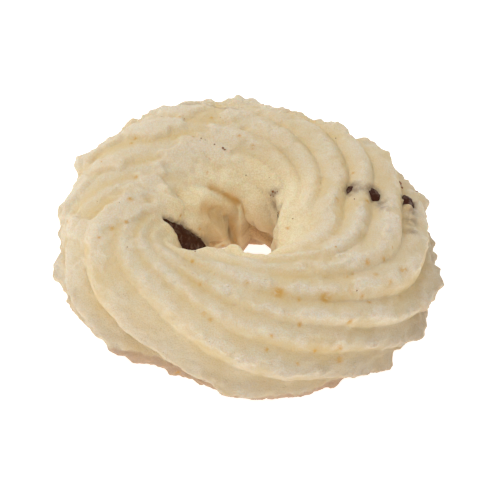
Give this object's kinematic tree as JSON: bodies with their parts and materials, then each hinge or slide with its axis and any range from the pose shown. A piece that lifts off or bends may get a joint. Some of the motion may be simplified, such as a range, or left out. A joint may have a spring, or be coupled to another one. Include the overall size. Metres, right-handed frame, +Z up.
{
  "type": "butter cookie",
  "caption": "Piped butter cookie ring with twisted star-nozzle ridges and dark chocolate pieces set in the pale dough.",
  "frame": {"origin": "centre of the footprint at the level of the surface the cookie lies on", "axes": "+Z up through the hole, +X to the right and +Y away from the viewer as pictured"},
  "size_m": [0.0609, 0.0607, 0.017],
  "materials": {
    "baked_dough": "matt, fine-grained pale baked butter dough",
    "dark_chocolate": "satin dark chocolate with a faint bloom"
  },
  "bodies": {
    "root": {"cookie_ring": "baked_dough", "chocolate_crevice": "dark_chocolate", "chocolate_ridge": "dark_chocolate", "chocolate_flank": "dark_chocolate", "chocolate_hole": "dark_chocolate"}
  },
  "joints": []
}
